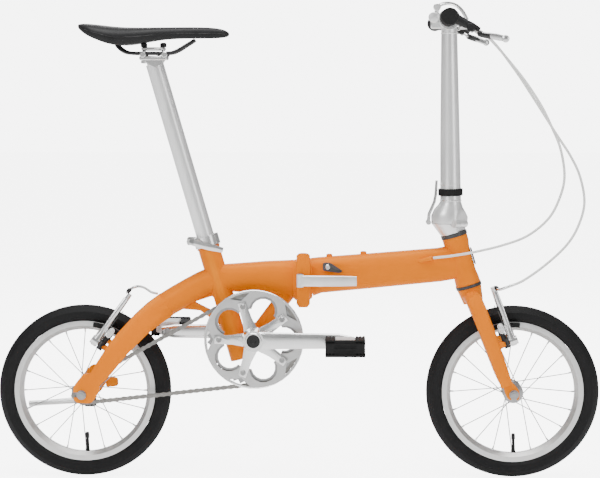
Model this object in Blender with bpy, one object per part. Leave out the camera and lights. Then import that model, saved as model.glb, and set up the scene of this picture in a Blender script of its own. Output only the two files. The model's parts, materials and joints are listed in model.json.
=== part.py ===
"""Folding bicycle with 14 inch wheels, one gear and two rim brakes.

Numbers are millimetres until a shape is made. The origin is on the ground midway
between the wheels, +X is forward, +Y is the rider's left and +Z is up.
"""
import math

import bmesh
import bpy
from mathutils import Matrix, Vector

MM = 0.001
GAP = 0.3

# Wheels
AXLE_X = 403.0
AXLE_Z = 162.5
TYRE_RADIUS = 162.5
TYRE_HALF_WIDTH = 17.5
RIM_RADIUS = 133.0
RIM_INNER = 116.5
RIM_HALF_WIDTH = 12.0
SPOKES = 20
WHEEL_STEPS = 42
FRONT_DROPOUT_HALF = 37.0
REAR_DROPOUT_HALF = 56.0
AXLE_BORE = 5.0

# Drive
CRANK_X = -82.0
CRANK_Z = 266.0
CRANK_LENGTH = 170.0
CHAIN_Y = -42.0
RING_TEETH = 42
COG_TEETH = 9
PITCH = 12.7
GUARD_RADIUS = 93.0
BOLT_CIRCLE = 65.0
PEDAL_OUTER_Y = 175.0

# Seat
SEAT_LEAN = math.radians(16.2)
SEAT_POINT = Vector((-165.0, 0.0, 421.0))
SEAT_UP = Vector((-math.sin(SEAT_LEAN), 0.0, math.cos(SEAT_LEAN)))
SEATPOST_RADIUS = 16.6
SEAT_BORE = 17.0
SEAT_TUBE_RADIUS = 20.5

# Folding joint and steering
PARTING_X = 8.0
HINGE_Y = 35.0
STEER_LEAN = math.radians(16.3)
STEER_UP = Vector((-math.sin(STEER_LEAN), 0.0, math.cos(STEER_LEAN)))
HEAD_LOW = Vector((318.9, 0.0, 365.0))
HEAD_LENGTH = 93.8
STEM_SPLIT_Z = 480.0
BAR_X = 280.0
BAR_Z = 860.0
BAR_HALF = 280.0
BRAKE_HALF_SPAN = 40.0
BRAKE_REACH = 46.0

ORANGE = (0.85, 0.31, 0.01)
SILVER = (0.62, 0.62, 0.61)
STEEL = (0.45, 0.45, 0.44)
BLACK = (0.02, 0.02, 0.02)
RUBBER = (0.03, 0.03, 0.03)
WHITE = (0.75, 0.75, 0.74)

for old in list(bpy.data.objects):
    bpy.data.objects.remove(old, do_unlink=True)
PARTS = bpy.data.collections.new("folding_bicycle")
SHAPES = bpy.data.collections.new("shapes")
bpy.context.scene.collection.children.link(PARTS)
bpy.context.scene.collection.children.link(SHAPES)


def new_object(bm, name="shape"):
    """Closed mesh in metres, kept as a working shape until a part takes it."""
    bmesh.ops.recalc_face_normals(bm, faces=bm.faces)
    bmesh.ops.scale(bm, vec=(MM, MM, MM), verts=bm.verts)
    mesh = bpy.data.meshes.new(name)
    bm.to_mesh(mesh)
    bm.free()
    thing = bpy.data.objects.new(name, mesh)
    SHAPES.objects.link(thing)
    thing.hide_render = True
    thing.display_type = "WIRE"
    return thing


def skin(rings, closed=False):
    """Join rings of points into one closed surface."""
    bm = bmesh.new()
    loops = [[bm.verts.new(point) for point in ring] for ring in rings]
    count = len(loops)
    for index in range(count if closed else count - 1):
        low, high = loops[index], loops[(index + 1) % count]
        for k in range(len(low)):
            n = (k + 1) % len(low)
            bm.faces.new((low[k], low[n], high[n], high[k]))
    if not closed:
        bm.faces.new(loops[0])
        bm.faces.new(loops[-1])
    return new_object(bm)


def loft(stations, side=(0, 1, 0), sides=14, power=2.0, start=None, end=None):
    """Tube through (point, half width along side, half depth) stations."""
    points = [Vector(station[0]) for station in stations]
    rings = []
    for i, (_, half_width, half_depth) in enumerate(stations):
        along = points[min(i + 1, len(points) - 1)] - points[max(i - 1, 0)]
        if i == 0 and start:
            along = Vector(start)
        if i == len(points) - 1 and end:
            along = Vector(end)
        along.normalize()
        across = Vector(side) - along * along.dot(Vector(side))
        across.normalize()
        deep = along.cross(across)
        ring = []
        for k in range(sides):
            turn = 2 * math.pi * (k + 0.5) / sides
            c, s = math.cos(turn), math.sin(turn)
            x = math.copysign(abs(c) ** (2 / power), c)
            y = math.copysign(abs(s) ** (2 / power), s)
            ring.append(points[i] + across * (x * half_width) + deep * (y * half_depth))
        rings.append(ring)
    return skin(rings)


def rod(start, end, radius, end_radius=None, sides=16):
    """Round bar or cone between two points."""
    start, end = Vector(start), Vector(end)
    last = radius if end_radius is None else end_radius
    axis = (end - start).normalized()
    side = (1, 0, 0) if abs(axis.x) < 0.8 else (0, 1, 0)
    return loft([(start, radius, radius), (end, last, last)], side=side, sides=sides)


def wire(points, radius, sides=6, per=2):
    """Round wire along a smooth path through the points."""
    ends = [Vector(p) for p in points]
    ends = [ends[0] * 2 - ends[1]] + ends + [ends[-1] * 2 - ends[-2]]
    path = []
    for a, b, c, d in zip(ends, ends[1:], ends[2:], ends[3:]):
        for step in range(per):
            t = step / per
            path.append(0.5 * (2 * b + (c - a) * t + (2 * a - 5 * b + 4 * c - d) * t ** 2
                               + (3 * b - a - 3 * c + d) * t ** 3))
    path.append(ends[-2])
    rings = []
    across = Vector((0.1, 1.0, 0.13))
    for i, point in enumerate(path):
        along = (path[min(i + 1, len(path) - 1)] - path[max(i - 1, 0)]).normalized()
        across = (across - along * along.dot(across)).normalized()
        deep = along.cross(across)
        turns = [2 * math.pi * k / sides for k in range(sides)]
        rings.append([point + (across * math.cos(t) + deep * math.sin(t)) * radius
                      for t in turns])
    return skin(rings)


def turned(profile, centre, axis=(0, 1, 0), steps=32, closed=True):
    """Revolve (radius, along) points about an axis; closed means a hollow ring."""
    centre, axis = Vector(centre), Vector(axis).normalized()
    one = axis.orthogonal().normalized()
    two = axis.cross(one)
    if closed:
        rings = []
        for k in range(steps):
            turn = 2 * math.pi * k / steps
            out = one * math.cos(turn) + two * math.sin(turn)
            rings.append([centre + out * r + axis * a for r, a in profile])
        return skin(rings, closed=True)
    turns = [2 * math.pi * k / steps for k in range(steps)]
    return skin([[centre + axis * a + (one * math.cos(t) + two * math.sin(t)) * r
                  for t in turns] for r, a in profile])


def tube(start, end, radius, bore, steps=22):
    """Hollow round tube between two points."""
    start, end = Vector(start), Vector(end)
    length = (end - start).length
    profile = [(bore, 0), (radius, 0), (radius, length), (bore, length)]
    return turned(profile, start, end - start, steps)


def plate(outline, low, high, place=None):
    """Slab with an (x, z) outline between two y values."""
    bm = bmesh.new()
    sides = [[bm.verts.new((x, y, z)) for x, z in outline] for y in (low, high)]
    for k in range(len(outline)):
        n = (k + 1) % len(outline)
        bm.faces.new((sides[0][k], sides[0][n], sides[1][n], sides[1][k]))
    bm.faces.new(sides[0])
    bm.faces.new(sides[1])
    if place:
        bm.transform(place)
    return new_object(bm)


def block(low, high, bevel=0.0, place=None):
    """Box between two corners with softened edges."""
    bm = bmesh.new()
    bmesh.ops.create_cube(bm, size=1.0)
    for vert in bm.verts:
        for k in range(3):
            vert.co[k] = low[k] if vert.co[k] < 0 else high[k]
    if bevel:
        bmesh.ops.bevel(bm, geom=bm.edges[:], offset=bevel, segments=1, profile=0.5,
                        affect="EDGES")
    if place:
        bm.transform(place)
    return new_object(bm)


def round_outline(points, radius, steps=3):
    """Points of an outline with each corner rounded."""
    result = []
    count = len(points)
    for i in range(count):
        here = Vector(points[i])
        back = (Vector(points[i - 1]) - here).normalized() * radius
        ahead = (Vector(points[(i + 1) % count]) - here).normalized() * radius
        for k in range(steps + 1):
            t = k / steps
            p = (here + back) * (1 - t) ** 2 + here * 2 * t * (1 - t) + (here + ahead) * t ** 2
            result.append((p.x, p.y))
    return result


def part(name, colour, shapes, cuts=(), pivot=(0, 0, 0)):
    """Join the shapes, take the cuts away and keep the result as one named part."""
    base = shapes[0]
    for other, kind in [(s, "UNION") for s in shapes[1:]] + [(c, "DIFFERENCE") for c in cuts]:
        step = base.modifiers.new(kind.lower(), "BOOLEAN")
        step.operation = kind
        step.solver = "EXACT"
        step.object = other
    SHAPES.objects.unlink(base)
    PARTS.objects.link(base)
    base.name = name
    base.hide_render = False
    base.display_type = "TEXTURED"
    origin = Vector(pivot) * MM
    base.data.transform(Matrix.Translation(-origin))
    base.location = origin
    base.data.polygons.foreach_set("use_smooth", [True] * len(base.data.polygons))
    material = bpy.data.materials.new(name)
    material.use_nodes = True
    material.node_tree.nodes["Principled BSDF"].inputs["Base Color"].default_value = (*colour, 1)
    base.data.materials.append(material)
    return base


def carve(shape, cutter):
    """Take a cutter away from one working shape before it is joined."""
    step = shape.modifiers.new("carve", "BOOLEAN")
    step.operation = "DIFFERENCE"
    step.solver = "EXACT"
    step.object = cutter
    return shape


def seat_at(z):
    """Point on the seat tube axis at a height."""
    return SEAT_POINT + SEAT_UP * ((z - SEAT_POINT.z) / SEAT_UP.z)


def steer_at(s):
    """Point on the steering axis, measured up from the lower head ring."""
    return HEAD_LOW + STEER_UP * s


# ---------------------------------------------------------------- wheels
def wheel(name, centre, half_old, flange):
    """Tyre, rim and laced hub of one wheel."""
    t, r = TYRE_RADIUS, RIM_RADIUS + GAP
    half = [(r, 0), (r, 11.0), (r + 6, 15.5), (t - 16, TYRE_HALF_WIDTH), (t - 8, 14.5),
            (t - 2, 8.5), (t, 0)]
    tyre = half + [(radius, -y) for radius, y in half[-2:0:-1]]
    part(name + "_tyre", RUBBER, [turned(tyre, centre, steps=WHEEL_STEPS)], pivot=centre)
    w = RIM_HALF_WIDTH
    rim = [(RIM_RADIUS, -w), (RIM_RADIUS, w), (RIM_RADIUS - 9, w), (RIM_INNER, 5.5),
           (RIM_INNER, -5.5), (RIM_RADIUS - 9, -w)]
    part(name + "_rim", SILVER, [turned(rim, centre, steps=WHEEL_STEPS)], pivot=centre)
    end = half_old - 0.6
    hub = [(AXLE_BORE, -end), (8, -end), (8, -flange - 3), (19, -flange - 2), (19, -flange + 2),
           (12, -flange + 4), (12, flange - 4), (19, flange - 2), (19, flange + 2),
           (8, flange + 3), (8, end), (AXLE_BORE, end)]
    shapes = [turned(hub, centre, steps=20)]
    for k in range(SPOKES):
        out = 2 * math.pi * k / SPOKES
        side = flange if k % 2 else -flange
        bend = 0.75 if k % 4 < 2 else -0.75
        lead = out + bend
        side += 1.3 * bend
        a = Vector(centre) + Vector((17 * math.cos(lead), side, 17 * math.sin(lead)))
        reach = RIM_INNER - 1.2
        b = Vector(centre) + Vector((reach * math.cos(out), side * 0.05, reach * math.sin(out)))
        shapes.append(rod(a, b, 1.2, sides=4))
    part(name + "_hub", STEEL, shapes, pivot=centre)


FRONT = (AXLE_X, 0, AXLE_Z)
REAR = (-AXLE_X, 0, AXLE_Z)
wheel("front", FRONT, FRONT_DROPOUT_HALF, 22)
wheel("rear", REAR, REAR_DROPOUT_HALF - 18, 24)
for label, centre, half in (("front", FRONT, FRONT_DROPOUT_HALF), ("rear", REAR, REAR_DROPOUT_HALF)):
    x, _, z = centre
    shapes = [rod((x, -half - 15, z), (x, half + 15, z), 4.4, sides=16)]
    for side in (-1, 1):
        shapes.append(rod((x, side * (half + 6.4), z), (x, side * (half + 8), z), 9))
        shapes.append(rod((x, side * (half + 7.6), z), (x, side * (half + 13), z), 8, sides=6))
    part(label + "_axle", STEEL, shapes, pivot=centre)


# ---------------------------------------------------------------- rear frame
def rear_leg(side):
    """One leg of the split beam with its slotted end plate and brake boss."""
    path = [(-250, 12, 325), (-275, 29, 307), (-296, 42, 289.5), (-314, 51, 271),
            (-336, 57, 247), (-362, 59, 211), (-385, 59, 181)]
    deep = [24, 23, 21.5, 21, 20, 17.5, 13]
    wide = [10, 10, 9, 8, 7.5, 6.5, 3.5]
    leg = loft([((x, side * y, z), w, d) for (x, y, z), w, d in zip(path, wide, deep)],
               sides=12, power=2.6)
    corners = [(-373, 200), (-368, 172), (-384, 146), (-417, 148), (-419, 178), (-398, 204)]
    ends = sorted((side * REAR_DROPOUT_HALF, side * (REAR_DROPOUT_HALF + 6)))
    end = plate(round_outline(corners, 9), *ends)
    out = Vector((-0.81, 0, 0.58))
    base = Vector((-341, side * BRAKE_HALF_SPAN, 234))
    bracket = rod((-341, side * 57, 240), base + out * 12, 8, 7, sides=12)
    stud = rod(base + out * 8, base + out * 33, 7, 4.5, sides=12)
    pin = rod(base + out * 32, base + out * 52, 3.6, sides=12)
    return [leg, end, bracket, stud, pin]


rear_tube = loft([((-160, 0, 377), 19, 24), ((-125, 0, 377), 20, 26.5), ((-60, 0, 377), 21, 31.5),
                  ((-4, 0, 374), 21, 37)], sides=16, power=2.6)
rear_flange = loft([((-10, 0, 373), 24, 34), ((-5, 0, 373), 26, 38.5),
                    ((PARTING_X - GAP, 0, 373), 26, 38.5)], sides=16, power=3.2)
rear_knuckle = tube((PARTING_X, HINGE_Y, 353), (PARTING_X, HINGE_Y, 389), 8.5, 4)
seat_tube = rod(seat_at(224), seat_at(436), SEAT_TUBE_RADIUS, sides=20)
crank_shell = rod((CRANK_X, -34, CRANK_Z), (CRANK_X, 34, CRANK_Z), 20.5, sides=20)
strut = rod((CRANK_X + 4, 0, CRANK_Z + 8), (-22, 0, 346), 13, 15)
beam = loft([((-160, 0, 374), 19, 24), ((-182, 0, 364), 19, 24), ((-204, 0, 352), 19, 24),
             ((-225, 0, 340), 20, 24), ((-247, 0, 327), 22, 23.5), ((-262, 0, 316), 24, 21)],
            sides=14, power=2.4)
gusset = plate([(-150, 365), (-235, 330), (-222, 318), (-185, 315), (-120, 268), (-112, 290)],
               -7, 7)
gusset_hole = plate(round_outline([(-160, 343), (-196, 331), (-150, 308)], 5), -12, 12)
legs = rear_leg(-1) + rear_leg(1)
slots = [block((-430, y - 9, AXLE_Z - 5), (-398, y + 9, AXLE_Z + 5)) for y in (-59, 59)]
seat_bore = rod(seat_at(200), seat_at(460), SEAT_BORE, sides=20)
crank_bore = rod((CRANK_X, -50, CRANK_Z), (CRANK_X, 50, CRANK_Z), 9, sides=14)
pin_room = rod((PARTING_X, HINGE_Y, 340), (PARTING_X, HINGE_Y, 400), 4, sides=16)
rear_web = block((-0.5, 18, 353), (PARTING_X - GAP, HINGE_Y - 1, 389))
front_room = [rod((PARTING_X, HINGE_Y, z), (PARTING_X, HINGE_Y, z + 22), 9.2, sides=20)
              for z in (330.6, 389.4)]
part("rear_frame", ORANGE, [rear_tube, rear_flange, rear_web, rear_knuckle, seat_tube,
                            crank_shell, strut, beam, gusset] + legs,
     [gusset_hole, seat_bore, crank_bore, pin_room] + slots + front_room)

collar_low, collar_high = seat_at(436.6), seat_at(455)
collar_ear = block((-209, -7, 438), (-186, 7, 453), 2)
part("seat_collar", SILVER, [tube(collar_low, collar_high, 24, SEAT_BORE), collar_ear],
     [rod(seat_at(420), seat_at(470), SEAT_BORE, sides=20)])
part("seat_lever", SILVER,
     [rod((-204, -21, 446), (-204, -9.4, 446), 5, sides=12),
      loft([((-204, -17, 446), 3, 6), ((-194, -28, 444), 3, 6), ((-165, -30, 437), 2.5, 7),
            ((-140, -30, 431), 2, 5)], sides=8)], pivot=(-204, -15, 446))
part("rear_magnet", ORANGE, [plate(round_outline([(-372, 158), (-348, 160), (-348, 176),
                                                  (-372, 178)], 5), 62.4, 66),
                             rod((-358, 65, 168), (-358, 72, 168), 9)])

# ---------------------------------------------------------------- front frame
front_tube = loft([((20, 0, 377.5), 21, 36), ((40, 0, 382), 21, 34), ((150, 0, 391.5), 21, 33),
                   ((264.6, 0, 402), 20, 32), ((298, 0, 408), 17, 32)], sides=16, power=2.6)
front_flange = loft([((PARTING_X + GAP, 0, 373), 26, 38.5), ((20, 0, 373), 26, 38.5),
                     ((26, 0, 373), 24, 34)], sides=16, power=3.2)
knuckles = [tube((PARTING_X, HINGE_Y, a), (PARTING_X, HINGE_Y, b), 8.5, 4)
            for a, b in ((336, 352.4), (389.6, 406))]
hinge_pin = rod((PARTING_X, HINGE_Y, 334), (PARTING_X, HINGE_Y, 408), 3.6, sides=16)
pin_heads = [rod((PARTING_X, HINGE_Y, a), (PARTING_X, HINGE_Y, b), 5.5, sides=16)
             for a, b in ((332, 337), (405, 410))]
webs = [block((PARTING_X + GAP, 18, a), (16.4, HINGE_Y - 1, b))
        for a, b in ((336, 352.4), (389.6, 406))]
rear_room = turned([(3.7, 352.4), (9.2, 352.4), (9.2, 389.6), (3.7, 389.6)],
                   (PARTING_X, HINGE_Y, 0), (0, 0, 1), 24)
yoke = loft([((9.7, -38, 419), 7, 13), ((9.7, -26, 420), 6, 12), ((9.7, -8, 417), 4, 9)],
            side=(0, 0, 1), sides=12, power=2.6)
yoke_side = loft([((9.7, -35.5, 325), 3.5, 8), ((9.7, -35.5, 331), 6, 12.5),
                  ((9.7, -35.5, 350), 6, 13), ((9.7, -35.5, 402), 6, 14),
                  ((9.7, -35.5, 415), 6, 12), ((9.7, -35.5, 425.5), 3.5, 7)],
                 sides=14, power=2.6, start=(0, 0, 1), end=(0, 0, 1))
yoke_root = block((13.4, -38, 346), (21.3, -19, 411.7))
head_tube = turned([(23.5, 0), (23.5, 10), (21.5, 24), (21.5, 68), (24, 82), (24, HEAD_LENGTH)],
                   HEAD_LOW, STEER_UP, 28, closed=False)
bosses = [rod((x, 0, z), (x, 0, z + 19), 6, sides=12) for x, z in ((58, 402), (122, 407))]
port = loft([((226, -18, 410), 3.5, 3.5), ((240, -23, 414), 4.2, 4.2),
             ((250, -26.5, 416.6), 4.4, 4.4)], sides=12)
catch_boss = rod((55, -15, 400), (55, -26, 400), 7, sides=14)
part("front_frame", ORANGE,
     [front_tube, front_flange, head_tube] + webs + knuckles + pin_heads + bosses
     + [port, yoke_side, yoke, yoke_root, catch_boss, hinge_pin],
     [rod(steer_at(-5), steer_at(HEAD_LENGTH + 5), 16, sides=20), rear_room],
     pivot=(PARTING_X, HINGE_Y, 370))
part("frame_latch", SILVER,
     [rod((4, -49, 364), (4, -49, 388), 7, sides=16),
      loft([((4, -51, 376), 4, 10), ((40, -54, 376), 4, 10), ((80, -55, 376), 3.5, 9.8),
            ((109, -54, 376), 3, 9)], side=(0, 1, 0), sides=12, power=5)],
     [rod((4, -44, 350), (4, -44, 400), 2.2, sides=12)], pivot=(4, -49, 376))
part("frame_catch", BLACK,
     [plate(round_outline([(46, 393), (46, 408), (60, 408), (84, 392), (78, 388.5)], 4), -31,
            -26.4)], pivot=(55, -28, 400))
badge_place = (Matrix.Translation(steer_at(50) + Vector((22.4, 0, 6)))
               @ Matrix.Rotation(-STEER_LEAN, 4, "Y"))
part("head_badge", BLACK, [block((-1.2, -11, -16), (1.2, 11, 16), 1, badge_place)])

# ---------------------------------------------------------------- fork
def fork_leg(side):
    """Fork leg, wheel plate and brake boss on one side."""
    path = [((327, 30, 341), 12, 15), ((336, 43, 320), 10, 15), ((353, 46, 277), 9, 14.5),
            ((382, 44, 199), 7, 12.5), ((390, 41, 178), 3.4, 11)]
    leg = loft([((x, side * y, z), w, d) for (x, y, z), w, d in path], sides=14, power=2.3,
               start=(0.2, side * 0.8, -0.5))
    corners = [(380, 192), (396, 190), (413, 170), (413, 152), (393, 152), (386, 165)]
    levels = sorted((side * FRONT_DROPOUT_HALF, side * (FRONT_DROPOUT_HALF + 6)))
    out = Vector((0.94, 0, 0.34))
    base = Vector((357, side * BRAKE_HALF_SPAN, 248))
    stud = rod(base, base + out * 31, 10, 6, sides=12)
    pin = rod(base + out * 30, base + out * 51, 3.6, sides=12)
    return [leg, plate(round_outline(corners, 6), *levels), stud, pin]


crown = loft([((328, -36, 338), 13, 13), ((324, -14, 342), 16, 15), ((324, 14, 342), 16, 15),
              ((328, 36, 338), 13, 13)], side=(1, 0, 0), sides=12)
collar = rod(steer_at(-34), steer_at(-6.2), 19, 23.4, sides=20)
steerer = rod(steer_at(-20), steer_at(HEAD_LENGTH + 12), 12.5)
front_slots = [block((AXLE_X - 5, 30, 140), (AXLE_X + 5, 50, AXLE_Z + 5)),
               block((AXLE_X - 5, -50, 140), (AXLE_X + 5, -30, AXLE_Z + 5))]
part("fork", ORANGE, [steerer, crown, collar] + fork_leg(-1) + fork_leg(1), front_slots,
     pivot=steer_at(0))
part("headset_lower", BLACK, [tube(steer_at(-5.5), steer_at(-GAP), 24.5, 14.2)],
     pivot=steer_at(0))
part("headset_upper", BLACK,
     [tube(steer_at(HEAD_LENGTH + GAP), steer_at(HEAD_LENGTH + 7), 25, 14)], pivot=steer_at(0))
part("front_magnet", STEEL, [rod((380, 51, 192), (380, 56, 192), 8)])
stem_low = steer_at(HEAD_LENGTH + 7.5)
stem = loft([(stem_low, 23.5, 23.5), (stem_low + STEER_UP * 7, 25, 26), ((283, 0, 479.6), 26, 34)],
            sides=20, power=2.3, end=(0, 0, 1))
HINGE_A = Vector((0.7071, 0.7071, 0))
HINGE_P = Vector((301, -18, STEM_SPLIT_Z))
beyond = block((0, -60, -34), (60, 60, 34),
               place=Matrix.Translation(HINGE_P) @ Matrix.Rotation(math.radians(-45), 4, "Z"))
carve(stem, beyond)
post_rooms = [rod(HINGE_P + HINGE_A * a, HINGE_P + HINGE_A * b, 7.4, sides=14)
              for a, b in ((-20, -6), (6, 20))]
stem_knuckle = tube(HINGE_P - HINGE_A * 5.6, HINGE_P + HINGE_A * 5.6, 7, 3.4)
part("stem_base", SILVER, [stem, stem_knuckle],
     [rod(steer_at(HEAD_LENGTH), steer_at(HEAD_LENGTH + 12.6), 12.9),
      rod(HINGE_P - HINGE_A * 20, HINGE_P + HINGE_A * 20, 3.4, sides=16)] + post_rooms,
     pivot=steer_at(0))

# ---------------------------------------------------------------- handlepost
upper = loft([((283, 0, STEM_SPLIT_Z + GAP), 26, 34), ((283, 0, 493), 26.5, 34.5),
              ((283.5, 0, 504), 24.5, 29.5), ((284.5, 0, 512), 21, 23.5),
              ((285, 0, 521), 19.4, 19.4), ((283, 0, 640), 18.2, 18.2), ((280.3, 0, 846), 14.8, 14.8)],
             sides=20, power=2.1, start=(0, 0, 1))
carve(upper, beyond)
cap_parts = [tube(HINGE_P + HINGE_A * a, HINGE_P + HINGE_A * b, 7, 3.4)
             for a, b in ((-16, -6.2), (6.2, 16))]
post_pin = rod(HINGE_P - HINGE_A * 17, HINGE_P + HINGE_A * 17, 3, sides=14)
bar_clamp = rod((BAR_X, -21, BAR_Z), (BAR_X, 21, BAR_Z), 20, sides=20)
ear_block = block((246, -12, 842), (268, 12, 857), 2)
stem_room = turned([(3.1, -5.9), (7.4, -5.9), (7.4, 5.9), (3.1, 5.9)], HINGE_P, HINGE_A, 20)
clamp_bolt = rod((257, -6, 855), (257, -6, 876), 4.5)
part("handlepost", SILVER, [upper] + cap_parts + [post_pin, bar_clamp, ear_block, clamp_bolt],
     [rod((BAR_X, -40, BAR_Z), (BAR_X, 40, BAR_Z), 13.3, sides=20), stem_room], pivot=HINGE_P)
part("post_band", RUBBER, [tube((284.6, 0, 532), (284.4, 0, 545), 22.6, 20)], pivot=HINGE_P)
part("post_latch", SILVER,
     [rod((243.6, -9, 482), (243.6, 9, 482), 4.8, sides=16),
      loft([((243.8, 0, 484), 7, 3.2), ((244.6, 0, 497), 7, 3), ((249.5, 0, 508), 7, 3),
            ((254.5, 0, 520), 6.5, 2.8), ((257, 0, 534), 6, 2.6), ((258.5, 0, 560), 5, 2.4)],
           sides=10, power=3)], pivot=(243.6, 0, 482))
part("bar_lever", SILVER,
     [rod((257, -12, 882), (257, 0, 882), 5),
      wire([(258, -6, 883), (268, -8, 888), (281, -10, 888.6), (294, -11, 884),
            (305, -11, 873), (313, -10, 858)],
           3.4, sides=8, per=2)], pivot=(257, -6, 882))

# ---------------------------------------------------------------- handlebar and controls
SWEEP_X = 266.6
bar_path = [(SWEEP_X, -BAR_HALF, 858), (272, -150, 859), (BAR_X, -50, BAR_Z), (BAR_X, 0, BAR_Z),
            (BAR_X, 50, BAR_Z), (272, 150, 859), (SWEEP_X, BAR_HALF, 858)]
BAR = (BAR_X, 0, BAR_Z)
bar_sizes = [11.1, 11.1, 12.8, 12.8, 12.8, 11.1, 11.1]
part("handlebar", SILVER, [loft([(p, size, size) for p, size in zip(bar_path, bar_sizes)],
                                side=(1, 0, 0), sides=14)], pivot=BAR)
for label, side in (("right", -1), ("left", 1)):
    inner = Vector((271.2, side * 165, 858.8))
    outer = Vector((SWEEP_X - 0.2, side * (BAR_HALF + 4), 858))
    way = (outer - inner).normalized()
    grip = rod(inner, outer, 15, sides=14)
    hollow = rod(inner - way * 5, outer - way * 3.6, 11.6, sides=14)
    part("grip_" + label, RUBBER, [grip], [hollow], pivot=BAR)
    a, b = Vector((272.4, side * 141, 859)), Vector((271.5, side * 159, 858.9))
    body = loft([((284, side * 148, 858), 7, 9), ((302, side * 148, 848), 6, 8),
                 ((312, side * 148, 842), 5.5, 5)], sides=12)
    barrel = rod((299, side * 149, 850), (303, side * 118, 846), 4.6, 3.6, sides=12)
    lug = block((304, side * 150 - 7.5, 835), (317, side * 150 + 7.5, 849), 1)
    part("brake_mount_" + label, BLACK, [rod(a, b, 16, sides=14), body, lug, barrel],
         [rod(a - (b - a) * 0.5, b + (b - a) * 0.5, 12.6, sides=14),
          block((307, side * 150 - 4.6, 830), (322, side * 150 + 4.6, 852))],
         pivot=BAR)
    blade = loft([((313, side * 150, 838), 1.9, 1.9), ((321, side * 150.4, 832), 1.9, 1.9),
                  ((330, side * 161, 829), 3.8, 5.4),
                  ((343, side * 185, 826), 4.2, 6.2), ((355, side * 215, 823), 4.2, 6.6),
                  ((366, side * 236, 820), 3.6, 5.4)], side=(1, 0, 0.4), sides=8)
    root = rod((313, side * 150 - 2, 836), (313, side * 150 + 2, 836), 4, sides=12)
    part("brake_lever_" + label, SILVER, [blade, root],
         [rod((313, side * 150, 820), (313, side * 150, 850), 1.5, sides=10)],
         pivot=(313, side * 150, 840))


# ---------------------------------------------------------------- rim brakes
def brake(label, base, along, out):
    """Pair of brake arms with pads, pivoting on the frame studs."""
    along, out = Vector(along).normalized(), Vector(out).normalized()
    for name, side in (("right", -1), ("left", 1)):
        shift = Vector((0, side * BRAKE_HALF_SPAN, 0))
        start = Vector(base) + shift + out * BRAKE_REACH
        lines = [(start - along * 9, 4, 5), (start, 7.2, 6), (start + along * 30, 6, 5.5),
                 (start + along * 66, 5, 5), (start + along * 98 - shift * 0.1, 4.4, 4.4)]
        arm = loft(lines, side=(0, 1, 0), sides=12, power=2.8)
        hub = rod(start - out * 6, start + out * 9, 8, sides=12)
        pad_at = start + along * 29.7
        holder = rod(pad_at, pad_at - Vector((0, side * 17, 0)), 3.4, sides=12)
        part(f"{label}_arm_{name}", SILVER, [arm, hub, holder],
             [rod(start - out * 12, start + out * 30, 4, sides=12)], pivot=start)
        wheel_at = FRONT if label == "front" else REAR
        centre = math.atan2(pad_at.z - wheel_at[2], pad_at.x - wheel_at[0])
        pad_rings = []
        for k in range(7):
            turn = centre + (k - 3) / 3 * 0.19
            c, s = math.cos(turn), math.sin(turn)
            ring = []
            for radius, y in ((123.8, 14.3), (131.8, 14.3), (131.8, 22.8), (123.8, 22.8)):
                ring.append((wheel_at[0] + radius * c, side * y, wheel_at[2] + radius * s))
            pad_rings.append(ring)
        part(f"{label}_pad_{name}", BLACK, [skin(pad_rings)], pivot=start)


brake("front", (357, 0, 248), (-0.34, 0, 0.94), (0.94, 0, 0.34))
brake("rear", (-341, 0, 234), (0.58, 0, 0.81), (-0.81, 0, 0.58))

# Cables from the levers, on the route they hold at rest
CABLE_RADIUS = 2.5
part("front_cable", WHITE,
     [wire([(304, -113, 846), (351, -78, 822), (397, -52, 768), (433, -40, 716), (476, -34, 650),
            (505, -31, 606), (523, -30, 567), (531, -30, 520), (520, -31, 477), (498, -33, 441),
            (459, -38, 405), (418, -46, 377), (391, -54, 367), (376, -50, 361),
            (371, -42, 360)], CABLE_RADIUS)], pivot=steer_at(0))
part("rear_cable", WHITE,
     [wire([(304, 113, 846), (345, 70, 838), (405, 25, 770), (448, 5, 708), (473, -8, 657),
            (488, -14, 618), (495, -18, 570), (487, -21, 531), (466, -24, 491), (427, -28, 459),
            (380, -30, 441), (326, -31, 428), (285, -30, 421), (251.6, -27.6, 417)],
           CABLE_RADIUS)],
     pivot=steer_at(0))
part("rear_cable_tail", WHITE,
     [wire([(-266, 0, 346), (-278, 8, 348), (-293, 34, 353), (-306, 52, 354), (-316, 52, 352),
            (-322, 42, 349), (-322.5, 6, 349)],
           CABLE_RADIUS)])

# ---------------------------------------------------------------- drive
CRANK = Vector((CRANK_X, 0, CRANK_Z))


def around(radius, turn, y, centre=CRANK):
    """Point at a radius and angle about a sideways axis."""
    return Vector((centre.x + radius * math.cos(turn), y, centre.z + radius * math.sin(turn)))


arm = loft([((CRANK_X - 6, -69, CRANK_Z), 6, 18), ((CRANK_X + 40, -69, CRANK_Z), 6, 15.5),
            ((CRANK_X + CRANK_LENGTH - 12, -69, CRANK_Z), 6, 14),
            ((CRANK_X + CRANK_LENGTH + 12, -69, CRANK_Z), 5.5, 9)], sides=12, power=3)
ARM_TURNS = [math.radians(36 + 72 * k) for k in range(5)]
shapes = [rod((CRANK_X, -75, CRANK_Z), (CRANK_X, -51, CRANK_Z), 19, 24, sides=20), arm,
          rod((CRANK_X, -56, CRANK_Z), (CRANK_X, 62, CRANK_Z), 8, sides=14)]
for turn in ARM_TURNS:
    shapes.append(loft([(around(10, turn, -54), 3.4, 15), (around(40, turn, -53.2), 2.4, 9.5),
                        (around(BOLT_CIRCLE + 8, turn, -52.8), 2, 8)],
                       sides=8, power=3))
    shapes.append(rod(around(BOLT_CIRCLE, turn, -54), around(BOLT_CIRCLE, turn, -39), 3.8, sides=12))
    shapes.append(rod(around(BOLT_CIRCLE, turn, -56), around(BOLT_CIRCLE, turn, -52), 6, sides=12))
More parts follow.
